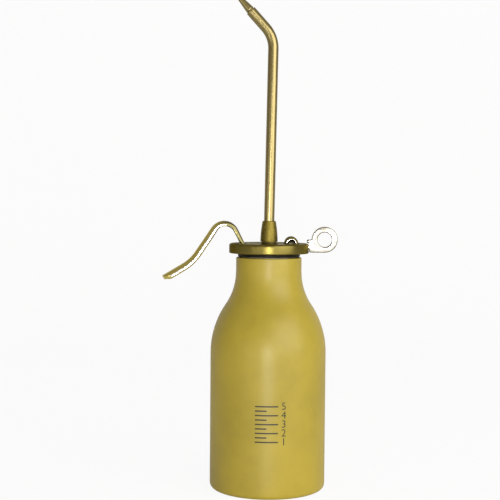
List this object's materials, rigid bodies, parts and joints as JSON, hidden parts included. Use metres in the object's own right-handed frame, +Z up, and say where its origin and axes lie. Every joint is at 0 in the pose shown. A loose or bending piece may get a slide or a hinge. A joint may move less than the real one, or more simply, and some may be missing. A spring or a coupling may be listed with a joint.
{
  "type": "pump oiler",
  "caption": "Thumb-lever pump oiler: round plastic bottle, screwed-in pump head, long bent swivelling spout and a hanging ring.",
  "frame": {"origin": "centre of the bottle's flat foot", "axes": "+Z up along the bottle's axis; the lever lies towards -X and the hanging ring towards +X; the spout bends towards -X"},
  "size_m": [0.1018, 0.067, 0.2845],
  "materials": {
    "bottle_plastic": "semi-matte blown polyethylene, mustard olive",
    "plug_plastic": "natural moulded plastic",
    "rubber": "black oil-proof rubber",
    "cap_metal": "olive passivated pressed steel",
    "bright_steel": "bright plated steel",
    "hub_metal": "dull cast and turned brass",
    "spout_metal": "drawn brass tube, satin",
    "fibre": "dark brown fibre gasket"
  },
  "bodies": {
    "bottle": {"bottle": "bottle_plastic"},
    "seal": {"seal_ring": "rubber"},
    "head": {"cap_cover": "cap_metal", "cap_base": "plug_plastic", "pivot_bracket": "cap_metal", "bracket_screw_1": "bright_steel", "bracket_screw_2": "bright_steel", "pivot_pin": "bright_steel", "hang_ring": "bright_steel", "pump_barrel": "plug_plastic", "barrel_gasket": "fibre", "barrel_screw_1": "bright_steel", "barrel_screw_2": "bright_steel", "barrel_screw_3": "bright_steel", "barrel_screw_4": "bright_steel", "foot_valve": "hub_metal", "ball_cage": "hub_metal", "suction_tube": "plug_plastic", "strainer": "plug_plastic", "return_spring": "bright_steel"},
    "spout": {"spout_hub": "hub_metal", "hub_washer": "fibre", "hub_clip": "bright_steel", "stem_packing": "rubber", "spout_tube": "spout_metal", "spout_nozzle": "spout_metal"},
    "lever": {"lever": "bright_steel"},
    "plunger": {"plunger_tube": "hub_metal", "plunger_collar": "hub_metal", "piston": "hub_metal", "cup_seal": "rubber", "piston_nut": "hub_metal", "delivery_spring": "bright_steel"},
    "delivery_ball": {"delivery_ball": "bright_steel"},
    "foot_ball": {"foot_ball": "bright_steel"}
  },
  "joints": [
    {"name": "head_lift", "type": "slide", "parent": "bottle", "child": "seal", "axis": [0, 0, 1], "range_m": [0, 0.14]},
    {"name": "head_turn", "type": "hinge", "parent": "seal", "child": "head", "pos_m": [0, 0, 0.1372], "axis": [0, 0, 1], "continuous": true},
    {"name": "spout_turn", "type": "hinge", "parent": "head", "child": "spout", "pos_m": [0, 0, 0.1437], "axis": [0, 0, 1], "continuous": true},
    {"name": "lever_press", "type": "hinge", "parent": "head", "child": "lever", "pos_m": [0.0129, 0, 0.1426], "axis": [0, -1, 0], "range_deg": [0, 6], "stiffness_Nm_per_rad": 0.6, "springref_deg": -14.32},
    {"name": "plunger_stroke", "type": "slide", "parent": "head", "child": "plunger", "axis": [0, 0, -1], "range_m": [0, 0.0014], "deforming": ["return_spring"]},
    {"name": "delivery_valve", "type": "slide", "parent": "plunger", "child": "delivery_ball", "axis": [0, 0, 1], "range_m": [0, 0.0006], "deforming": ["delivery_spring"]},
    {"name": "foot_valve_lift", "type": "slide", "parent": "head", "child": "foot_ball", "axis": [0, 0, 1], "range_m": [0, 0.0012]}
  ],
  "couplings": [
    {"joint": "plunger_stroke", "follows": "lever_press", "m_per_rad": 0.0129}
  ]
}
